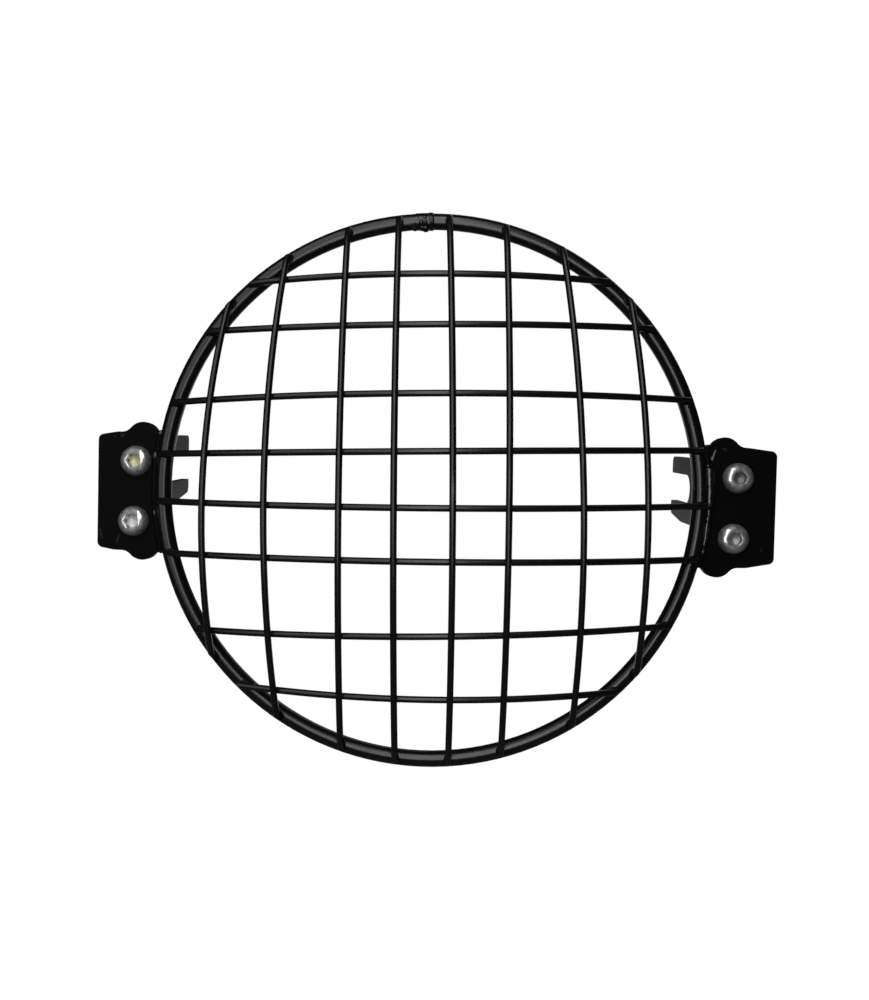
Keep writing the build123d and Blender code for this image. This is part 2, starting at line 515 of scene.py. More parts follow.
@dataclass(frozen=True)
class PowderCoat:
    """Black powder coat baked over bare or welded steel."""

    name: str
    colour: Colour = (0.0030, 0.0033, 0.0031)
    dusty: Colour = (0.020, 0.021, 0.019)
    gloss: float = 0.24
    gloss_spread: float = 0.10
    peel_mm: float = 0.9
    peel_depth_mm: float = 0.012
    grit_mm: float = 0.22
    grit_depth_mm: float = 0.006
    patch_mm: float = 14.0
    dust: float = 0.15
    specular: float = 0.5
    chips_and_edge_highlights: tuple[ScuffAndHighlightStreak, ...] = ()
    chip_and_highlight_colour: Colour = (0.034, 0.037, 0.034)

    def material(self) -> bpy.types.Material:
        """Builds the coat: orange peel, grit, cloudy gloss, settled dust, and lighter streaks for
        chipped coat and painted edge highlights.

        Returns:
            The finished material.
        """
        material = bpy.data.materials.new(self.name)
        material.use_nodes = True
        graph = Graph(material.node_tree)
        place = graph.node("ShaderNodeTexCoord", {}, {}).outputs["Object"]
        clouds = graph.noise(place, self.patch_mm, 4.0, 0.6)
        peel = graph.noise(place, self.peel_mm, 1.0)
        grit = graph.noise(place, self.grit_mm, 2.0, 0.7)
        specks = 1 - graph.specks(place, 1.6).ramp(0.05, 0.13)
        facing = graph.node("ShaderNodeSeparateXYZ", {}, {
            0: graph.node("ShaderNodeNewGeometry", {}, {}).outputs["Normal"]})
        upward = Value(graph, facing.outputs["Z"]).ramp(0.1, 1.0)
        settled = (upward * 0.6 + clouds.ramp(0.5, 0.75) * 0.4) * self.dust
        dirt = (settled * grit.ramp(0.3, 0.7) + specks * grit.ramp(0.55, 0.7) * 0.5).clamped()
        colour = graph.blend(dirt, self.colour, self.dusty)
        # Lighter streaks near the ear edges: chipped coat and painted edge highlights.
        if self.chips_and_edge_highlights:
            spot = graph.node("ShaderNodeSeparateXYZ", {}, {0: place})
            x, z = Value(graph, spot.outputs["X"]) / MM, Value(graph, spot.outputs["Z"]) / MM
            chips_and_highlights = sum((ear_streak.mask(graph, x, z) for ear_streak in self.chips_and_edge_highlights), 0.0).clamped()
            colour = graph.blend(chips_and_highlights * grit.ramp(0.35, 0.6), colour, self.chip_and_highlight_colour)
        rough = (clouds - 0.5) * self.gloss_spread + dirt * 0.25 + self.gloss
        normal = graph.bump(peel, 0.5, self.peel_depth_mm)
        normal = graph.bump(grit, 0.4, self.grit_depth_mm, normal)
        shader = graph.node("ShaderNodeBsdfPrincipled", {}, {
            "Base Color": colour, "Roughness": rough.clamped(), "Normal": normal,
            "IOR": 1.5, "Specular IOR Level": self.specular, "Metallic": 0.0})
        graph.node("ShaderNodeOutputMaterial", {}, {"Surface": shader.outputs[0]})
        return material


@dataclass(frozen=True)
class TurnedStainless:
    """A stainless steel screw: a dull turned head with painted highlight streaks, and its socket
    floor painted with the light and shade that it catches.
    """

    name: str
    highlight_streaks: tuple[ScuffAndHighlightStreak, ...]
    socket_light_and_shade: Colour
    colour: Colour = (0.33, 0.33, 0.328)
    stained: Colour = (0.15, 0.148, 0.14)
    highlight_colour: Colour = (0.95, 0.95, 0.94)
    dull: float = 0.50
    highlight_roughness: float = 0.30
    ring_mm: float = 0.16
    ring_depth_mm: float = 0.004
    socket_r: float = 2.2

    def material(self) -> bpy.types.Material:
        """Builds the steel on the piece's own UV map, which holds mm from the axis.

        Returns:
            The finished material.
        """
        material = bpy.data.materials.new(self.name)
        material.use_nodes = True
        graph = Graph(material.node_tree)
        face = graph.node("ShaderNodeUVMap", {"uv_map": "Face"}, {}).outputs[0]
        place = graph.node("ShaderNodeTexCoord", {}, {}).outputs["Object"]
        offset = graph.node("ShaderNodeSeparateXYZ", {}, {0: face})
        x, z = Value(graph, offset.outputs["X"]), Value(graph, offset.outputs["Y"])
        from_axis = (x * x + z * z) ** 0.5
        rings = graph.node("ShaderNodeTexNoise", {"noise_dimensions": "1D"},
                           {"W": from_axis, "Scale": 1 / self.ring_mm, "Detail": 3.0})
        ring = Value(graph, rings.outputs[0])
        smear = graph.noise(place, 1.6, 4.0, 0.65)
        pits = graph.noise(place, 0.25, 2.0, 0.7)
        depth = Value(graph, graph.node("ShaderNodeSeparateXYZ", {}, {0: place}).outputs["Y"]) / MM
        front = 1 - depth.ramp(-0.4, 0.4)
        inside = front * (1 - from_axis.ramp(self.socket_r - 0.3, self.socket_r))
        # Painted highlights: the lamps' reflections beside the socket and on its rim, laid on as a
        # pale, glossier streak.
        streak = front * sum((painted_streak.mask(graph, x, z) for painted_streak in self.highlight_streaks), 0.0).clamped()
        stain = (smear.ramp(0.40, 0.62) * 0.8 + pits.ramp(0.55, 0.75) * 0.3).clamped()
        colour = graph.blend(stain, self.colour, self.stained)
        colour = graph.blend(streak, colour, self.highlight_colour)
        # Socket floor painted with its light and shade, one colour per screw: bright reflection on
        # the left screws, shade on the right ones.
        colour = graph.blend(inside, colour, self.socket_light_and_shade)
        rough = (streak * (self.highlight_roughness - self.dull) + self.dull + (ring - 0.5) * 0.10
                 + (smear - 0.5) * 0.15)
        normal = graph.bump(ring, 0.35, self.ring_depth_mm)
        normal = graph.bump(pits, 0.25, self.ring_depth_mm, normal)
        shader = graph.node("ShaderNodeBsdfPrincipled", {}, {
            "Base Color": colour, "Roughness": rough.clamped(), "Normal": normal,
            "Metallic": (streak * 0.3 + 0.7).clamped()})
        graph.node("ShaderNodeOutputMaterial", {}, {"Surface": shader.outputs[0]})
        return material


# Skins over the solids


@dataclass
class CoatedSkin:
    """A smooth skin over one solid, with its edges rounded by the baked coat."""

    node: str
    material: bpy.types.Material
    slot: CoatSlot
    edge_r: float
    flat_angle: float = 0.8
    edge_angle: float = 38.0
    smooth_angle: float = 32.0
    merge_mm: float = 0.002

    def build(self) -> bpy.types.Object:
        """Copies the solid, welds its loose triangles and rounds its edges.

        Returns:
            The skin, which stands for the node.
        """
        skin = copy_of(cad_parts[self.node], f"{self.node}_coated")
        only(skin)
        open_mesh()
        bpy.ops.mesh.remove_doubles(threshold=self.merge_mm * MM)
        bpy.ops.mesh.dissolve_limited(angle_limit=radians(self.flat_angle))
        bpy.ops.object.mode_set(mode="OBJECT")
        finish_with(skin, "BEVEL", width=self.edge_r * MM, segments=3, limit_method="ANGLE",
                    angle_limit=radians(self.edge_angle), use_clamp_overlap=True)
        smoothed(skin, self.smooth_angle)
        finish_with(skin, "WEIGHTED_NORMAL", keep_sharp=True, weight=100)
        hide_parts(self.node)
        return dressed(skin, self.material)


@dataclass
class CoatedWire:
    """A wire under its coat: a little thicker than bare, its two ends cut off by the weld."""

    node: str
    along: int
    material: bpy.types.Material
    coat: float = 0.1
    end_r: float = 92.2
    edge_r: float = 0.25
    edge_angle: float = 55.0
    smooth_angle: float = 50.0
    merge_mm: float = 0.002

    def build(self) -> bpy.types.Object:
        """Copies the solid, lays the coat on it and takes off both ends.

        Returns:
            The wire's skin, which stands for the node.
        """
        axis = WireAxis(self.node)
        ends = [axis.tip(self.along, end) for end in (-1, 1)]
        skin = copy_of(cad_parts[self.node], f"{self.node}_coated")
        only(skin)
        open_mesh()
        bpy.ops.mesh.remove_doubles(threshold=self.merge_mm * MM)
        bpy.ops.transform.shrink_fatten(value=self.coat * MM)
        for tip in ends:
            outward = Vector((tip.x, 0, tip.z)).normalized()
            bpy.ops.mesh.select_all(action="SELECT")
            bpy.ops.mesh.bisect(plane_co=outward * self.end_r * MM, plane_no=outward,
                                use_fill=True, clear_outer=True)
        bpy.ops.object.mode_set(mode="OBJECT")
        finish_with(skin, "BEVEL", width=self.edge_r * MM, segments=2, limit_method="ANGLE",
                    angle_limit=radians(self.edge_angle), use_clamp_overlap=True)
        for vertex in skin.data.vertices:
            vertex.co.y = max(vertex.co.y, CAD_BOX[0][1])
        smoothed(skin, self.smooth_angle)
        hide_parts(self.node)
        return dressed(skin, self.material)


# Welds


@dataclass(frozen=True)
class Puddle:
    """One frozen puddle of weld: a ball drawn out along the hoop, out from it and along Y."""

    angle: float
    out: float
    y: float
    halves: Point
    lean: float = 0.0

    def build(self) -> bpy.types.Object:
        """Makes the puddle in its place: its angle is counted from +X, its lean about the radius.

        Returns:
            The puddle's mesh.
        """
        nothing_selected()
        bpy.ops.mesh.primitive_uv_sphere_add(segments=20, ring_count=12, radius=MM)
        ball = bpy.context.object
        open_mesh()
        bpy.ops.transform.resize(value=self.halves, center_override=(0, 0, 0))
        bpy.ops.object.mode_set(mode="OBJECT")
        turn = radians(self.angle)
        ball.location = (self.out * cos(turn) * MM, self.y * MM, self.out * sin(turn) * MM)
        ball.rotation_euler = (0, -turn - radians(self.lean), 0)
        return settle(ball)


@dataclass
class Weld:
    """A weld of several puddles that ran together."""

    name: str
    material: bpy.types.Material
    puddles: Sequence[Puddle]
    slot: CoatSlot = CoatSlot.PLATE
    voxel: float = 0.16
    softening: int = 8

    def build(self) -> bpy.types.Object:
        """Lays the puddles, melts them together and smooths the weld.

        Returns:
            The finished weld.
        """
        weld = joined([puddle.build() for puddle in self.puddles], self.name)
        finish_with(weld, "REMESH", mode="VOXEL", voxel_size=self.voxel * MM)
        finish_with(weld, "SMOOTH", factor=0.5, iterations=self.softening)
        smoothed(weld, 80)
        return dressed(weld, self.material)


def bead_puddles(radius: float, y: float, span: tuple[float, float], halves: Point,
                 pitch: float, seed: int, jitter: float = 0.09) -> list[Puddle]:
    """The puddles of a bead laid along an arc round the hoop.

    Args:
        radius: The arc's distance from the lamp's axis.
        y: The arc's place along the lamp's axis.
        span: The angles of its two ends, in degrees from +X.
        halves: Half of each puddle's size, out from the hoop, along Y and along the arc.
        pitch: The distance from one puddle to the next.
        seed: Picks how each puddle strays from its place and size.
        jitter: How far they stray, in mm and as a share of their size.

    Returns:
        The puddles in order.
    """
    chance = Random(seed)
    start, stop = span
    count = round(radians(stop - start) * radius / pitch)
    puddles = []
    drift = swell = 0.0
    for index in range(count + 1):
        drift = 0.7 * drift + chance.uniform(-1, 1) * jitter
        swell = 0.7 * swell + chance.uniform(-1, 1) * jitter
        puddles.append(Puddle(start + (stop - start) * index / count, radius + drift, y,
                              (halves[0] * (1 + swell), halves[1] * (1 + swell / 2), halves[2])))
    return puddles


@dataclass
class WireAxis:
    """The centre line of one wire, found from its solid."""

    node: str
    wire_r: float = 1.0
    tree: BVHTree = field(init=False)

    def __post_init__(self) -> None:
        """Makes the search tree of the wire's solid."""
        self.tree = tree_of(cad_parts[self.node])

    def near(self, spot: Vector) -> Vector:
        """The point of the centre line that is nearest to a spot."""
        skin, normal, _, _ = self.tree.find_nearest(spot)
        return skin - normal * self.wire_r * MM

    def middle(self) -> Vector:
        """A point of the centre line near the middle of the wire."""
        low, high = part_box(self.node)
        return self.near((low + high) / 2)

    def tip(self, along: int, end: int) -> Vector:
        """The centre of the cut end of the wire.

        Args:
            along: The axis that the wire runs along, 0 for X or 2 for Z.
            end: Which end, -1 or 1.

        Returns:
            The mean of the cut end's corners.
        """
        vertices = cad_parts[self.node].data.vertices
        half = [v.co for v in vertices if v.co[along] * end > 0]
        reach = max(hypot(spot.x, spot.z) for spot in half)
        cut = [spot for spot in half if hypot(spot.x, spot.z) > reach - 0.05 * MM]
        return sum(cut, Vector()) / len(cut)


@dataclass
class WireWelds:
    """The small coated beads where wires cross each other and meet the hoop."""

    material: bpy.types.Material
    end_material: bpy.types.Material
    uprights: Sequence[str]
    cross_wires: Sequence[str]
    dome_centre_y: float = 184.2
    cross_r: float = 0.95
    cross_half_t: float = 0.40
    touching: float = 2.4
    overhang: float = 0.4
    end_half_length: float = 2.3
    end_half_width: float = 1.35
    end_half_t: float = 0.65
    end_setback: float = 1.9

    def build(self) -> list[bpy.types.Object]:
        """Finds every contact in the solids and sets a bead at each.

        Returns:
            The crossing beads as one piece and the beads on the hoop as another.
        """
        uprights = [WireAxis(name) for name in self.uprights]
        cross_wires = [WireAxis(name) for name in self.cross_wires]
        pillow = self._pillow()
        crossings = []
        for upright in uprights:
            for cross in cross_wires:
                spot = self._crossing(upright, cross)
                if spot is not None:
                    crossings.append(self._set(pillow, spot, *self._dome_axes(spot)))
        bpy.data.objects.remove(pillow)
        lens = self._lens()
        hoop = tree_of(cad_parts["hoop"])
        landings = [self._land(lens, wire, hoop, along, end)
                    for wires, along in ((uprights, 2), (cross_wires, 0))
                    for wire in wires for end in (-1, 1)]
        bpy.data.objects.remove(lens)
        log.info("%d crossings and %d landings", len(crossings), len(landings))
        return [dressed(smoothed(joined(beads, name), 60), material)
                for beads, name, material in ((crossings, "crossing_welds", self.material),
                                              (landings, "hoop_welds", self.end_material))]

    def _crossing(self, upright: WireAxis, cross: WireAxis) -> Vector | None:
        """The contact of two crossed wires.

        Args:
            upright: The wire in front.
            cross: The wire behind it.

        Returns:
            The contact, or None where the wires miss each other.
        """
        front, rear = upright.middle(), cross.middle()
        for _ in range(6):
            guess = Vector((front.x, (front.y + rear.y) / 2, rear.z))
            front, rear = upright.near(guess), cross.near(guess)
        if (front - rear).length > self.touching * MM:
            return None
        return (front + rear) / 2

    def _dome_axes(self, spot: Vector) -> tuple[Vector, Vector]:
        """How a crossing's bead lies on the dome.

        Args:
            spot: The crossing.

        Returns:
            The dome's outward normal there, and the direction of the cross wire.
        """
        normal = (spot - Vector((0, self.dome_centre_y * MM, 0))).normalized()
        along = Vector((1, 0, 0))
        return normal, (along - normal * along.dot(normal)).normalized()

    def _land(self, model: bpy.types.Object, wire: WireAxis, hoop: BVHTree, along: int,
              end: int) -> bpy.types.Object:
        """Sets a bead where one end of a wire rests on the hoop.

        Args:
            model: The bead's mesh.
            wire: The wire's centre line.
            hoop: The hoop's search tree.
            along: The axis that the wire runs along, 0 for X or 2 for Z.
            end: Which end, -1 or 1.

        Returns:
            The bead in its place.
        """
        tip = wire.tip(along, end)
        back = tip.copy()
        back[along] -= end * 4 * MM
        heading = (tip - wire.near(back)).normalized()
        contact, normal, _, _ = hoop.find_nearest(tip - heading * self.overhang * MM)
        heading = (heading - normal * heading.dot(normal)).normalized()
        return self._set(model, contact - heading * self.end_setback * MM, normal, heading)

    def _set(self, model: bpy.types.Object, spot: Vector, normal: Vector,
             along: Vector) -> bpy.types.Object:
        """Copies a bead to a spot.

        Args:
            model: The bead's mesh at the origin.
            spot: Where the copy goes.
            normal: The way its Z points.
            along: The way its X points, along the wire.

        Returns:
            The copy.
        """
        bead = copy_of(model, "bead")
        turn = Matrix((along, normal.cross(along), normal)).transposed().to_4x4()
        bead.data.transform(Matrix.Translation(spot) @ turn)
        return bead

    def _pillow(self) -> bpy.types.Object:
        """Shapes the bead of a crossing.

        Returns:
            A four-cornered pillow that fills the corners between two crossed wires.
        """
        pillow = self._ball("pillow", 16, 8, (self.cross_r, self.cross_r, self.cross_half_t))
        mesh = bmesh.from_edit_mesh(pillow.data)
        for vertex in mesh.verts:
            vertex.select_set(30 < degrees(atan2(vertex.co.y, vertex.co.x)) % 90 < 60)
        mesh.select_flush(False)
        bmesh.update_edit_mesh(pillow.data)
        bpy.ops.transform.resize(value=(1.2, 1.2, 1.6), center_override=(0, 0, 0))
        bpy.ops.object.mode_set(mode="OBJECT")
        return pillow

    def _lens(self) -> bpy.types.Object:
        """Shapes the bead of a wire's end.

        Returns:
            A lens drawn out along the wire, which fills the crease on both its sides.
        """
        lens = self._ball("lens", 20, 10,
                          (self.end_half_length, self.end_half_width, self.end_half_t))
        mesh = bmesh.from_edit_mesh(lens.data)
        for vertex in mesh.verts:
            vertex.select_set(vertex.co.x > 0.3 * self.end_half_length * MM)
        mesh.select_flush(False)
        bmesh.update_edit_mesh(lens.data)
        bpy.ops.transform.resize(value=(1, 0.82, 1), center_override=(0, 0, 0))
        bpy.ops.object.mode_set(mode="OBJECT")
        return lens

    def _ball(self, name: str, segments: int, rings: int, halves: Point) -> bpy.types.Object:
        """A ball stretched to three half-lengths, left open in edit mode.

        Args:
            name: The object's name.
            segments: Faces round the ball.
            rings: Faces from pole to pole.
            halves: Half its length, width and thickness in mm.

        Returns:
            The ball.
        """
        nothing_selected()
        bpy.ops.mesh.primitive_uv_sphere_add(segments=segments, ring_count=rings, radius=MM)
        ball = named(bpy.context.object, name)
        open_mesh()
        bpy.ops.transform.resize(value=halves, center_override=(0, 0, 0))
        return ball


# Screws


@dataclass
class ButtonScrew:
    """A stainless button-head screw with a hexagon socket and a cut thread."""

    node: str
    material: bpy.types.Material
    socket_turn: float
    head_r: float = 5.12
    head_k: float = 3.3
    crown_r: float = 2.75
    fullness: float = 0.86
    rim: float = 0.6
    rim_round: float = 0.12
    length: float = 10.0
    chamfer: float = 0.5
    core_r: float = 2.45
    thread_r: float = 2.97
    pitch: float = 1.0
    hex_af: float = 4.0
    hex_depth: float = 2.0
    dish: float = 0.08
    sunk: float = 0.05
    facets: int = 64

    def build(self) -> bpy.types.Object:
        """Turns the head and core, cuts the socket and winds the thread.

        Returns:
            The finished screw, which stands for the node.
        """
        low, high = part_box(self.node)
        seat = Vector(((low.x + high.x) / 2, high.y - self.length * MM, (low.z + high.z) / 2))
        blank = self._blank()
        self._cut_socket(blank)
        finish_with(blank, "BEVEL", width=0.14 * MM, segments=2, limit_method="ANGLE",
                    angle_limit=radians(40), use_clamp_overlap=True)
        screw = joined([blank, self._thread()], f"{self.node}_turned")
        screw.rotation_euler = (pi / 2, 0, 0)
        screw.location = seat
        settle(screw)
        smoothed(screw, 30)
        self._map_face(screw, seat)
        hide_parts(self.node)
        return dressed(screw, self.material)

    def _profile(self) -> list[tuple[float, float]]:
        """Plots the turned outline: chamfered tip, core, shank, rim and domed crown.

        Returns:
            The outline as (radius, height), from the tip to the crown.
        """
        outline = [(self.core_r - self.chamfer, -self.length),
                   (self.core_r, -self.length + self.chamfer),
                   (self.core_r, -self.hex_depth), (self.thread_r, -self.hex_depth + 0.4),
                   (self.thread_r, 0.0), (self.head_r - self.rim_round, 0.0),
                   (self.head_r, self.rim_round), (self.head_r, self.rim)]
        steps = 9
        for step in range(1, steps + 1):
            turn = radians(90 * step / steps)
            radius = self.crown_r + (self.head_r - self.crown_r) * cos(turn) ** self.fullness
            outline.append((radius, self.rim + (self.head_k - self.rim) * sin(turn)))
        return outline

    def _blank(self) -> bpy.types.Object:
        """Draws up the head and core ring by ring from the tip.

        Returns:
            The blank, without socket or thread.
        """
        outline = self._profile()
        nothing_selected()
        radius, height = outline[0]
        bpy.ops.mesh.primitive_circle_add(vertices=self.facets, radius=radius * MM,
                                          fill_type="NGON", location=(0, 0, 0))
        blank = bpy.context.object
        open_mesh()
        bpy.ops.transform.translate(value=(0, 0, height * MM))
        for next_radius, next_height in outline[1:]:
            bpy.ops.mesh.extrude_region_move(
                TRANSFORM_OT_translate={"value": (0, 0, (next_height - height) * MM)})
            grow = next_radius / radius
            bpy.ops.transform.resize(value=(grow, grow, 1),
                                     center_override=(0, 0, next_height * MM))
            radius, height = next_radius, next_height
        close_mesh()
        return named(blank, "blank")

    def _cut_socket(self, blank: bpy.types.Object) -> None:
        """Cuts the hexagon socket with its coned floor and a countersunk mouth.

        Args:
            blank: The head and core.
        """
        for cutter in (self._hexagon(), self._countersink()):
            finish_with(blank, "BOOLEAN", operation="DIFFERENCE", object=cutter, solver="EXACT")
            bpy.data.objects.remove(cutter)

    def _hexagon(self) -> bpy.types.Object:
        """Makes the hexagon punch, coned at its lower end.

        Returns:
            The punch, turned as the socket is.
        """
        nothing_selected()
        corner = self.hex_af / 2 / cos(pi / 6)
        bpy.ops.mesh.primitive_circle_add(vertices=6, radius=corner * MM, fill_type="NGON",
                                          location=(0, 0, 0))
        punch = bpy.context.object
        open_mesh()
        bpy.ops.transform.translate(value=(0, 0, (self.head_k + 1) * MM))
        bpy.ops.mesh.extrude_region_move(
            TRANSFORM_OT_translate={"value": (0, 0, -(self.hex_depth + 1) * MM)})
        bpy.ops.mesh.extrude_region_move(TRANSFORM_OT_translate={"value": (0, 0, -1.0 * MM)})
        bpy.ops.transform.resize(value=(0.02, 0.02, 1), center_override=(0, 0, 0))
        close_mesh()
        punch.rotation_euler = (0, 0, radians(30 + self.socket_turn))
        return settle(named(punch, "punch"))

    def _countersink(self) -> bpy.types.Object:
        """Makes the flat cone that dishes the crown round the socket's mouth.

        Its side starts at a fifth of the mouth's radius, rises by the dish and meets the
        crown at the mouth's edge.

        Returns:
            The cone.
        """
        nothing_selected()
        mouth = self.crown_r - self.sunk
        bpy.ops.mesh.primitive_circle_add(vertices=self.facets, radius=0.2 * mouth * MM,
                                          fill_type="NGON", location=(0, 0, 0))
        cone = bpy.context.object
        open_mesh()
        drop = self.dish * 0.8 * mouth
        bpy.ops.transform.translate(value=(0, 0, (self.head_k - drop) * MM))
        bpy.ops.mesh.extrude_region_move(TRANSFORM_OT_translate={"value": (0, 0, 2 * drop * MM)})
        bpy.ops.transform.resize(value=(9, 9, 1), center_override=(0, 0, 0))
        close_mesh()
        return named(cone, "countersink")

    def _thread(self) -> bpy.types.Object:
        """Winds the thread's ridge, a small diamond, up the core.

        Returns:
            The ridge, sunk a little into the core.
        """
        turns = 6
        nothing_selected()
        bpy.ops.mesh.primitive_circle_add(vertices=4, radius=0.5 * self.pitch * MM,
                                          fill_type="NOTHING", location=(0, 0, 0))
        ridge = bpy.context.object
        ridge.rotation_euler = (pi / 2, 0, 0)
        settle(ridge)
        open_mesh()
        deep = (self.thread_r - self.core_r + self.sunk) / (0.5 * self.pitch)
        bpy.ops.transform.resize(value=(deep, 1, 0.94), center_override=(0, 0, 0))
        bpy.ops.transform.translate(
            value=((self.core_r - self.sunk) * MM, 0, (-self.length + 0.75) * MM))
        bpy.ops.object.mode_set(mode="OBJECT")
        finish_with(ridge, "SCREW", axis="Z", angle=2 * pi, screw_offset=self.pitch * MM,
                    iterations=turns, steps=28, render_steps=28, use_merge_vertices=False)
        only(ridge)
        open_mesh()
        bpy.ops.mesh.fill_holes(sides=4)
        close_mesh()
        return named(ridge, "ridge")

    def _map_face(self, screw: bpy.types.Object, seat: Vector) -> None:
        """Writes each corner's place as seen from the front, in mm from the axis, to a UV map.

        Args:
            screw: The finished screw.
            seat: The centre of the underside of its head.
        """
        layer = screw.data.uv_layers.new(name="Face")
        for loop in screw.data.loops:
            spot = screw.data.vertices[loop.vertex_index].co - seat
            layer.data[loop.index].uv = (spot.x / MM, spot.z / MM)


# The whole guard


@dataclass
class HeadlightGuard:
    """The guard: a coated cage between two bolted ears and brackets."""

    hoop_r: float = 91.0
    tube_r: float = 2.75
    roll: float = 1.8
    wires: int = 8
    plate_edge_r: float = 0.4
    sheet_edge_r: float = 0.3

    def build(self) -> None:
        """Builds the skins, the welds and the screws."""
        cage = PowderCoat("cage_powder_coat").material()
        wire = PowderCoat("wire_powder_coat", gloss=0.26, peel_depth_mm=0.008).material()
        lap = PowderCoat("lap_weld_powder_coat", gloss=0.40, peel_depth_mm=0.02,
                         specular=0.12).material()
        # Chipped coat and painted edge highlights along the ears' lobes and shoulders.
        ear_chips_and_highlights = (ScuffAndHighlightStreak(-105.4, 15.3, 0.9, 0.35, 60.0), ScuffAndHighlightStreak(-108.0, 14.9, 0.6, 0.25, 80.0),
                 ScuffAndHighlightStreak(-111.7, -18.0, 2.0, 0.25, -12.0), ScuffAndHighlightStreak(-105.9, -19.6, 1.7, 0.22, 16.0),
                 ScuffAndHighlightStreak(98.7, 17.0, 0.8, 0.3, -60.0), ScuffAndHighlightStreak(112.2, -16.8, 0.6, 0.25, 10.0))
        ear = PowderCoat("ear_powder_coat", gloss=0.42, patch_mm=9.0, dust=0.10, specular=0.03,
                         chips_and_edge_highlights=ear_chips_and_highlights).material()
        bracket = PowderCoat("bracket_powder_coat", gloss=0.42, patch_mm=9.0, dust=0.2,
                             specular=0.12).material()
        weld = PowderCoat("weld_powder_coat", peel_mm=0.8, peel_depth_mm=0.02, gloss=0.24,
                          dust=0.1, specular=0.85).material()
        uprights = [f"upright_wire_{n}" for n in range(1, self.wires + 1)]
        cross_wires = [f"cross_wire_{n}" for n in range(1, self.wires + 1)]
        WireWelds(wire, lap, uprights, cross_wires).build()
        coat_node("hoop", cage)
        for names, along in ((uprights, 2), (cross_wires, 0)):
            for name in names:
                CoatedWire(name, along, wire).build()
        for side in Side:
            CoatedSkin(f"{side.word}_ear", ear, CoatSlot.PLATE, self.plate_edge_r).build()
            CoatedSkin(f"{side.word}_bracket", bracket, CoatSlot.PLATE, self.sheet_edge_r).build()
        self._ear_welds(weld)
        self._butt_weld(cage)
        self._screws()

    def _screws(self) -> None:
        """Turns the four screws, each with its own painted highlights, its own painted socket
        light and shade, and its own turn in the hole.
        """
        # Painted highlights: the lamps' reflections beside each socket and crescents on its rim.
        left, right = ScuffAndHighlightStreak(2.6, 0.9, 3.0, 0.5, 6.0, 0.2), ScuffAndHighlightStreak(-2.75, 1.0, 2.4, 0.66)
        left_rim_highlights = (ScuffAndHighlightStreak(-2.55, 0.95, 1.1, 0.17, 35.0), ScuffAndHighlightStreak(-2.3, -1.15, 1.4, 0.18, -34.0))
        right_rim_highlights = (ScuffAndHighlightStreak(2.5, 0.15, 0.8, 0.14, -24.0), ScuffAndHighlightStreak(2.05, -1.3, 1.2, 0.17, 42.0))
        # Socket floors painted with light and shade: lit and yellowish with reflection on the left
        # screws; dull and half_shaded_socket are the shaded ones on the right.
        lit_socket, lit_yellowish_socket = (0.90, 0.90, 0.88), (0.80, 0.79, 0.50)
        dull, half_shaded_socket = (0.20, 0.19, 0.19), (0.36, 0.36, 0.35)
        for place, turn, highlight_streaks, socket in (
            ("left_upper", 3, (left, *left_rim_highlights), lit_yellowish_socket),
            ("left_lower", -4, (left, *left_rim_highlights), lit_socket),
            ("right_upper", 14, (right, ScuffAndHighlightStreak(2.5, -0.5, 1.1, 0.14, 21.0)), dull),
            ("right_lower", -3, (right, *right_rim_highlights), half_shaded_socket),
        ):
            steel = TurnedStainless(f"{place}_stainless", highlight_streaks, socket).material()
            ButtonScrew(f"{place}_screw", steel, turn).build()

    def _ear_welds(self, material: bpy.types.Material) -> None:
        """Lays the front and rear fillet beads between the ears and the hoop.

        The left bead sank into the corner and shows only a few lumps; the right one stands
        proud and runs out over the ear under its upper lobe.

        Args:
            material: The coated weld's material.
        """
        seam = self.hoop_r + self.tube_r + 0.2
        proud = (bead_puddles(seam + 0.1, -0.2, (-11.0, -2.6), (1.0, 1.2, 1.5), 0.9, seed=12)
                 + bead_puddles(seam + 0.35, -0.45, (-0.8, 5.6), (1.6, 1.2, 1.6), 0.9, seed=4)
                 + bead_puddles(seam + 0.1, -0.3, (-2.6, 10.2), (1.15, 1.0, 1.5), 0.9, seed=9))
        run_out = [Puddle(8.7, seam + 2.2, -0.25, (0.85, 0.9, 2.9), lean=-28),
                   Puddle(10.3, seam + 0.6, 0.2, (1.6, 0.8, 1.6))]
        sunk = bead_puddles(seam, -0.25, (170.2, 194.0), (1.0, 0.95, 1.6), 1.2, seed=7)
        lumps = [Puddle(174.6, seam + 0.3, -0.4, (0.9, 1.0, 2.2)),
                 Puddle(186.4, seam + 0.2, -0.4, (0.6, 1.0, 2.3)),
                 Puddle(191.4, seam + 0.1, -0.3, (0.8, 1.0, 1.6))]
        Weld("right_ear_front_weld", material, proud + run_out, softening=16).build()
        Weld("left_ear_front_weld", material, sunk + lumps).build()
        for side, centre in ((Side.LEFT, 182.2), (Side.RIGHT, -1.6)):
            rear = bead_puddles(self.hoop_r + 1.7, 2.75, (centre - 12.3, centre + 12.3),
                                (0.8, 0.75, 1.4), 1.3, seed=31 + side.value)
            Weld(f"{side.word}_ear_rear_weld", material, rear).build()

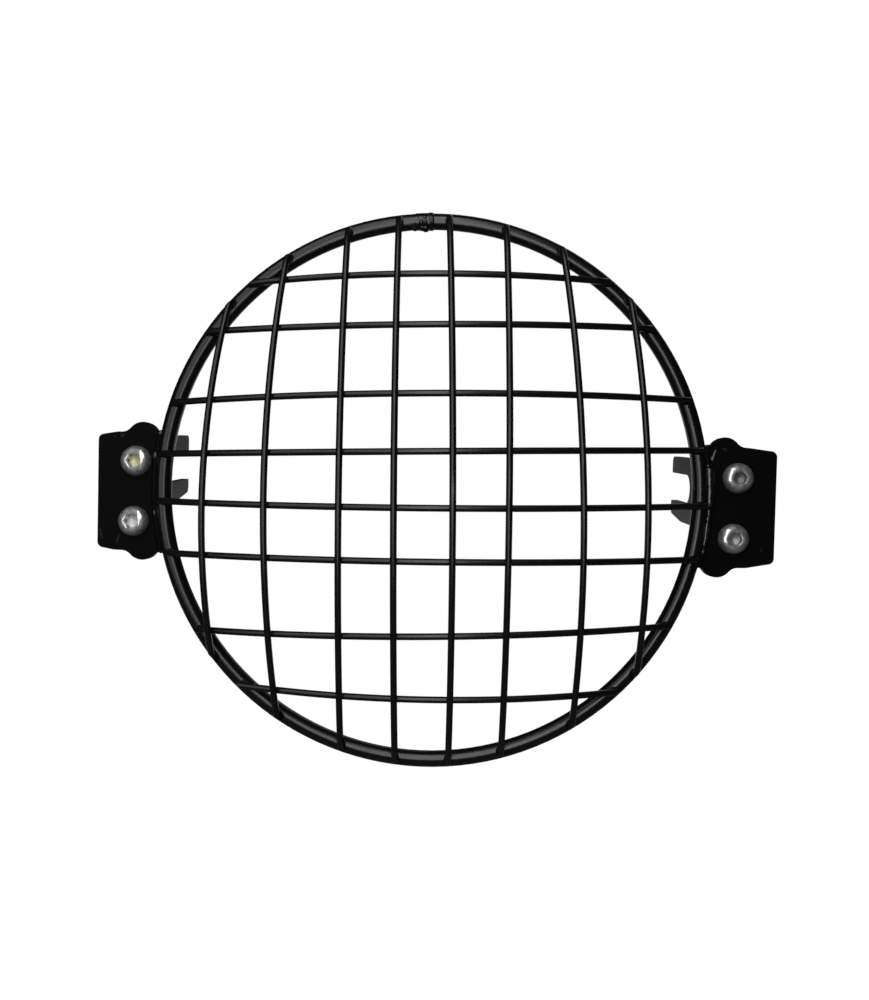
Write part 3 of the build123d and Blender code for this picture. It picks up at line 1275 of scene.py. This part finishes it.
    def _butt_weld(self, material: bpy.types.Material) -> None:
        """Builds up the lump that closes the hoop near its top: a leaning ridge and drips.

        Args:
            material: The cage's coat.
        """
        at = 90 + self.roll
        lump = [
            Puddle(at - 0.15, self.hoop_r, -0.05, (3.0, 3.35, 0.95), lean=4),
            Puddle(at + 0.25, self.hoop_r, -0.05, (3.0, 3.25, 0.8), lean=5),
            Puddle(at + 0.5, self.hoop_r, -0.05, (2.95, 3.1, 0.6), lean=6),
            Puddle(at + 1.3, self.hoop_r - 0.8, -0.55, (1.9, 2.75, 0.9), lean=-32),
            Puddle(at + 1.5, self.hoop_r + 0.5, -0.35, (2.3, 2.75, 1.0), lean=-30),
            Puddle(at + 2.3, self.hoop_r - 0.4, -0.45, (2.0, 2.72, 0.9), lean=25),
            Puddle(at + 2.9, self.hoop_r + 0.3, -0.2, (2.55, 2.8, 0.7), lean=-12),
            Puddle(at + 1.35, self.hoop_r - 2.25, -0.8, (1.5, 1.6, 1.5)),
            Puddle(at + 2.2, self.hoop_r - 2.0, -0.6, (1.3, 1.5, 1.2)),
            Puddle(at + 3.9, self.hoop_r - 2.15, -0.6, (0.95, 1.2, 0.8)),
        ]
        Weld("hoop_butt_weld", material, lump, CoatSlot.CAGE, softening=4).build()


# Light, floor and camera


@dataclass
class Softbox:
    """A rectangular studio lamp that faces a point."""

    name: str
    place: Point
    width: float
    height: float
    watts: float
    aim: Point = (0.0, 0.0, 0.0)

    def build(self) -> None:
        """Hangs the lamp and turns it to its aim."""
        lamp = bpy.data.lights.new(self.name, "AREA")
        lamp.shape = "RECTANGLE"
        lamp.size = self.width
        lamp.size_y = self.height
        lamp.energy = self.watts
        holder = bpy.data.objects.new(self.name, lamp)
        holder.location = self.place
        toward = Vector(self.aim) - Vector(self.place)
        holder.rotation_euler = toward.to_track_quat("-Z", "Y").to_euler()
        holder.visible_camera = False
        bpy.context.scene.collection.objects.link(holder)
        log.info("%s: %.1f W", self.name, self.watts)


@dataclass
class Studio:
    """A white room in front of the camera, a dark one behind it, and the lamps.

    The floor is white to the camera: its glow covers all but a little of the paper, and
    the two together come to a strength of 1.
    """

    floor_z: float = -0.42
    floor_size: float = 14.0
    paper: float = 0.22
    glow: float = 1.08
    glow_cover: float = 0.93
    mirrored_from_y: tuple[float, float] = (0.6, 2.0)
    white: float = 1.0
    white_cone: tuple[float, float] = (0.965, 0.99)
    fill: float = 0.12
    behind: float = 0.012
    camera_distance: float = 0.340
    camera_x: float = 0.00088
    camera_z: float = -0.00332
    roll: float = 1.8
    lens: float = 36.1

    def build(self) -> None:
        """Lays the floor, lights the room and sets up the camera."""
        self._floor()
        self._world()
        for box in (
            Softbox("strip_light", (0.0, -0.37, 0.32), 0.09, 0.9, 0.90, (0.0, 0.0, 0.32)),
            Softbox("left_light", (-0.44, -0.78, 0.72), 0.80, 1.8, 5.2, (0.0, 0.0, 0.72)),
            Softbox("top_light", (-0.2, -0.60, 0.90), 1.2, 0.8, 1.3),
            Softbox("rear_light", (0.45, 0.90, 0.75), 0.9, 0.9, 1.3),
        ):
            box.build()
        self._camera()

    def _floor(self) -> None:
        """A plain pale floor, white to the camera but still shaded by the guard."""
        nothing_selected()
        bpy.ops.mesh.primitive_plane_add(size=self.floor_size, location=(0, 0, 0))
        floor = bpy.context.object
        open_mesh()
        bpy.ops.transform.translate(value=(0, 0, self.floor_z))
        bpy.ops.mesh.subdivide(number_cuts=3)
        bpy.ops.object.mode_set(mode="OBJECT")
        named(floor, "studio_floor")
        material = bpy.data.materials.new("pale_floor")
        material.use_nodes = True
        graph = Graph(material.node_tree)
        place = graph.node("ShaderNodeTexCoord", {}, {}).outputs["Object"]
        rearward = Value(graph, graph.node("ShaderNodeSeparateXYZ", {}, {0: place}).outputs["Y"])
        path = graph.node("ShaderNodeLightPath", {}, {})
        direct = Value(graph, path.outputs["Is Camera Ray"])
        far = rearward.ramp(*self.mirrored_from_y)
        seen = direct + (1 - direct) * self._seen(graph) * far
        paper = graph.node("ShaderNodeBsdfDiffuse", {}, {"Color": (*(self.paper,) * 3, 1)})
        glow = graph.node("ShaderNodeEmission", {}, {"Color": (1, 1, 1, 1),
                                                     "Strength": self.glow})
        mix = graph.node("ShaderNodeMixShader", {}, {0: seen * self.glow_cover,
                                                     1: paper.outputs[0],
                                                     2: glow.outputs[0]})
        graph.node("ShaderNodeOutputMaterial", {}, {"Surface": mix.outputs[0]})
        floor.data.materials.append(material)

    def _seen(self, graph: Graph) -> Value:
        """Tells what looks at a surface from what only lights it.

        Args:
            graph: The graph of the floor's material or of the world.

        Returns:
            1 for rays from the camera and for reflections, 0 for soft light.
        """
        path = graph.node("ShaderNodeLightPath", {}, {})
        direct = Value(graph, path.outputs["Is Camera Ray"])
        mirrored = Value(graph, path.outputs["Is Glossy Ray"])
        through = Value(graph, path.outputs["Is Transmission Ray"])
        return (direct + mirrored + through).clamped()

    def _world(self) -> None:
        """White ahead of the camera for what sees it, and dim all round as light."""
        world = bpy.data.worlds.new("studio_world")
        world.use_nodes = True
        bpy.context.scene.world = world
        graph = Graph(world.node_tree)
        way = graph.node("ShaderNodeTexCoord", {}, {}).outputs["Generated"]
        ahead = Value(graph, graph.node("ShaderNodeSeparateXYZ", {}, {0: way}).outputs["Y"])
        path = graph.node("ShaderNodeLightPath", {}, {})
        direct = Value(graph, path.outputs["Is Camera Ray"])
        seen = self._seen(graph)
        room = ahead.ramp(*self.white_cone) * (self.white - self.behind) + self.behind
        shown = direct * self.white + (1 - direct) * room
        strength = seen * shown + (1 - seen) * self.fill
        light = graph.node("ShaderNodeBackground", {}, {"Color": (1, 1, 1, 1),
                                                        "Strength": strength})
        graph.node("ShaderNodeOutputWorld", {}, {"Surface": light.outputs[0]})

    def _camera(self) -> None:
        """The camera on the lamp's axis, rolled with the cage."""
        data = bpy.data.cameras.new("camera")
        data.lens = self.lens
        data.sensor_width = 36.0
        data.clip_start = 0.01
        data.clip_end = 50.0
        camera = bpy.data.objects.new("camera", data)
        roll = Matrix.Rotation(radians(-self.roll), 4, "Y")
        place = roll @ Vector((self.camera_x, -self.camera_distance, self.camera_z))
        camera.matrix_world = (Matrix.Translation(place) @ roll
                               @ Matrix.Rotation(pi / 2, 4, "X"))
        bpy.context.scene.collection.objects.link(camera)
        bpy.context.scene.camera = camera


def main() -> None:
    bpy.context.scene.view_settings.view_transform = "Standard"
    HeadlightGuard().build()
    Studio().build()


if __name__ == "__main__":
    main()
